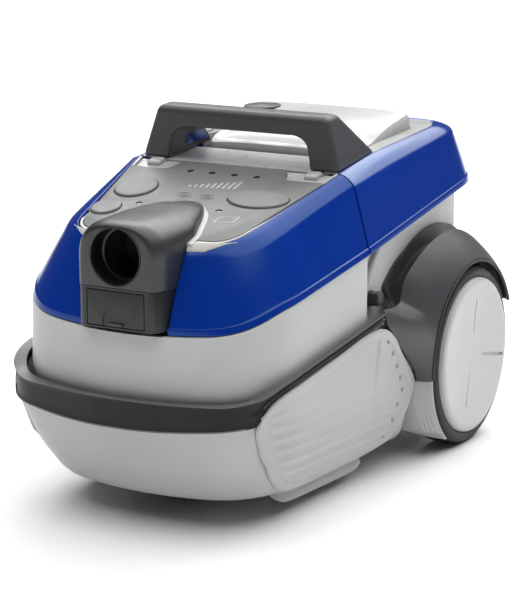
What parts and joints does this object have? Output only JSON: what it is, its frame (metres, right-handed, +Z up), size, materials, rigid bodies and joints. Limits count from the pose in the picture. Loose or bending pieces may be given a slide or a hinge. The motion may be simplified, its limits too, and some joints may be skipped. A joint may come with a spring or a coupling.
{
  "type": "wet and dry canister vacuum cleaner",
  "caption": "Wheeled household wet and dry canister vacuum with lift-out front and rear water tanks, sloping control panel, front hose inlet and a carrying handle.",
  "frame": {"origin": "on the floor below the middle of the bounding box", "axes": "+X to the right of a viewer who faces the hose inlet, +Y from the inlet at the front to the rear, +Z up"},
  "size_m": [0.32, 0.493, 0.3366],
  "materials": {
    "blue_gloss": "glossy deep blue",
    "light_grey_plastic": "satin light grey",
    "dark_grey_plastic": "satin dark grey",
    "charcoal_bumper": "soft charcoal",
    "panel_grey_plastic": "satin mid grey",
    "black_plastic": "satin black",
    "soft_rubber": "matt black rubber",
    "smoked_clear": "smoked clear",
    "frosted_tank": "frosted translucent white",
    "white_plastic": "semi-gloss white",
    "steel": "bright steel",
    "aluminium": "cast aluminium",
    "brass": "turned brass",
    "circuit_board": "green board",
    "filter_paper": "pleated filter medium"
  },
  "bodies": {
    "chassis": {"base_tub": "light_grey_plastic", "bumper_band": "charcoal_bumper", "vent_cover_left": "light_grey_plastic", "vent_cover_right": "light_grey_plastic", "wheel_arch_left": "dark_grey_plastic", "wheel_arch_right": "dark_grey_plastic", "axle_left": "steel", "axle_right": "steel", "axle_bush_left": "soft_rubber", "axle_bush_right": "soft_rubber", "caster_cup": "light_grey_plastic", "rear_cover": "blue_gloss", "rear_body": "light_grey_plastic", "chassis_deck": "dark_grey_plastic", "handle": "dark_grey_plastic", "handle_bridge": "light_grey_plastic", "motor_housing": "dark_grey_plastic", "motor_mount": "soft_rubber", "pump_body": "dark_grey_plastic", "drum_axle": "steel", "cord_outlet": "black_plastic", "exhaust_filter": "filter_paper"},
    "left_wheel": {"tyre_left": "charcoal_bumper", "wheel_disc_left": "light_grey_plastic"},
    "right_wheel": {"tyre_right": "charcoal_bumper", "wheel_disc_right": "light_grey_plastic"},
    "caster_fork": {"caster_fork": "dark_grey_plastic", "caster_pin": "steel"},
    "caster_wheel": {"caster_wheel": "dark_grey_plastic"},
    "dirty_tank": {"dirty_tank": "light_grey_plastic", "hinge_arm_left": "light_grey_plastic", "hinge_arm_right": "light_grey_plastic"},
    "front_lid": {"front_lid": "blue_gloss", "panel_tray": "light_grey_plastic", "control_panel": "panel_grey_plastic", "control_board": "circuit_board", "light_guide": "smoked_clear", "inlet_hood": "dark_grey_plastic", "inlet_housing": "dark_grey_plastic", "inlet_sleeve": "black_plastic", "spray_coupling": "brass", "lid_seal": "soft_rubber", "float_cage": "dark_grey_plastic", "lid_hinge_pin_left": "steel", "lid_hinge_pin_right": "steel"},
    "inlet_door": {"inlet_door": "dark_grey_plastic"},
    "power_button": {"power_button": "panel_grey_plastic"},
    "rewind_button": {"rewind_button": "panel_grey_plastic"},
    "pump_button": {"pump_button": "panel_grey_plastic"},
    "float_ball": {"float_ball": "white_plastic"},
    "clean_tank": {"clean_tank": "frosted_tank", "clean_tank_top": "white_plastic"},
    "tank_cap": {"tank_cap": "dark_grey_plastic"},
    "left_latch": {"latch_button_left": "dark_grey_plastic"},
    "right_latch": {"latch_button_right": "dark_grey_plastic"},
    "motor_rotor": {"motor_rotor": "steel", "suction_fan": "aluminium"},
    "cord_drum": {"cord_drum": "dark_grey_plastic"},
    "pump_plunger": {"pump_plunger": "steel"},
    "exhaust_door": {"exhaust_door": "light_grey_plastic"}
  },
  "joints": [
    {"name": "left_wheel_spin", "type": "hinge", "parent": "chassis", "child": "left_wheel", "pos_m": [-0.138, 0.157, 0.0875], "axis": [1, 0, 0], "continuous": true},
    {"name": "right_wheel_spin", "type": "hinge", "parent": "chassis", "child": "right_wheel", "pos_m": [0.138, 0.157, 0.0875], "axis": [1, 0, 0], "continuous": true},
    {"name": "caster_swivel", "type": "hinge", "parent": "chassis", "child": "caster_fork", "pos_m": [0, -0.14, 0.05], "axis": [0, 0, 1], "continuous": true},
    {"name": "caster_roll", "type": "hinge", "parent": "caster_fork", "child": "caster_wheel", "pos_m": [0, -0.128, 0.019], "axis": [1, 0, 0], "continuous": true},
    {"name": "dirty_tank_lift", "type": "slide", "parent": "chassis", "child": "dirty_tank", "axis": [0, 0, 1], "range_m": [0, 0.13]},
    {"name": "front_lid_hinge", "type": "hinge", "parent": "dirty_tank", "child": "front_lid", "pos_m": [0, -0.0315, 0.286], "axis": [1, 0, 0], "range_deg": [-75, 0]},
    {"name": "inlet_door_hinge", "type": "hinge", "parent": "front_lid", "child": "inlet_door", "pos_m": [0, -0.2355, 0.21], "axis": [1, 0, 0], "range_deg": [-85, 0]},
    {"name": "power_button_press", "type": "slide", "parent": "front_lid", "child": "power_button", "axis": [0, 0.2516, -0.9678], "range_m": [0, 0.0015], "stiffness_N_per_m": 800},
    {"name": "rewind_button_press", "type": "slide", "parent": "front_lid", "child": "rewind_button", "axis": [0, 0.2516, -0.9678], "range_m": [0, 0.0015], "stiffness_N_per_m": 800},
    {"name": "pump_button_press", "type": "slide", "parent": "front_lid", "child": "pump_button", "axis": [0, 0.2516, -0.9678], "range_m": [0, 0.0015], "stiffness_N_per_m": 800},
    {"name": "float_rise", "type": "slide", "parent": "front_lid", "child": "float_ball", "axis": [0, 0, 1], "range_m": [0, 0.02]},
    {"name": "clean_tank_lift", "type": "slide", "parent": "chassis", "child": "clean_tank", "axis": [0, 0, 1], "range_m": [0, 0.12]},
    {"name": "tank_cap_lift", "type": "slide", "parent": "clean_tank", "child": "tank_cap", "axis": [0, 0, 1], "range_m": [0, 0.02]},
    {"name": "left_latch_press", "type": "slide", "parent": "chassis", "child": "left_latch", "axis": [1, 0, 0], "range_m": [0, 0.004], "stiffness_N_per_m": 500},
    {"name": "right_latch_press", "type": "slide", "parent": "chassis", "child": "right_latch", "axis": [-1, 0, 0], "range_m": [0, 0.004], "stiffness_N_per_m": 500},
    {"name": "motor_spin", "type": "hinge", "parent": "chassis", "child": "motor_rotor", "pos_m": [0, 0.052, 0.08], "axis": [0, 0, 1], "continuous": true},
    {"name": "cord_drum_spin", "type": "hinge", "parent": "chassis", "child": "cord_drum", "pos_m": [0, 0.16, 0.06], "axis": [0, 0, 1], "continuous": true},
    {"name": "pump_stroke", "type": "slide", "parent": "chassis", "child": "pump_plunger", "axis": [0, 0, 1], "range_m": [-0.002, 0.002], "stiffness_N_per_m": 600},
    {"name": "exhaust_door_hinge", "type": "hinge", "parent": "chassis", "child": "exhaust_door", "pos_m": [0, 0.2225, 0.146], "axis": [1, 0, 0], "range_deg": [-90, 0]}
  ]
}
